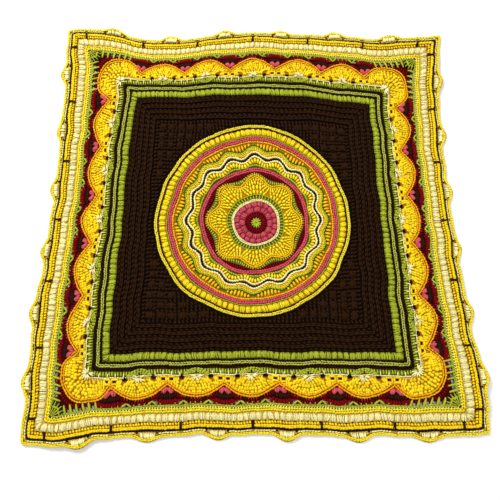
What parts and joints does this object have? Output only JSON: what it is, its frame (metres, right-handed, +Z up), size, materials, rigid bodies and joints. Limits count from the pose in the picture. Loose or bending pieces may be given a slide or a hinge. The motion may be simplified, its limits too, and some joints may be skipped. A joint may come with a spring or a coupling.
{
  "type": "crocheted blanket",
  "caption": "Square crocheted blanket laid flat: a round rosette in a ribbed dark field, with puff rows, scalloped shells and a bumpy edging around it.",
  "frame": {"origin": "middle of the underside of the laid cloth", "axes": "+Z up through the cloth, +X to the right and +Y away from the viewer of the picture"},
  "size_m": [1.0868, 1.1046, 0.017],
  "materials": {
    "yarn": "matt crocheted yarn in yellow, cream, lime, crimson, rose and dark brown"
  },
  "bodies": {
    "root": {"blanket": "yarn"}
  },
  "joints": []
}
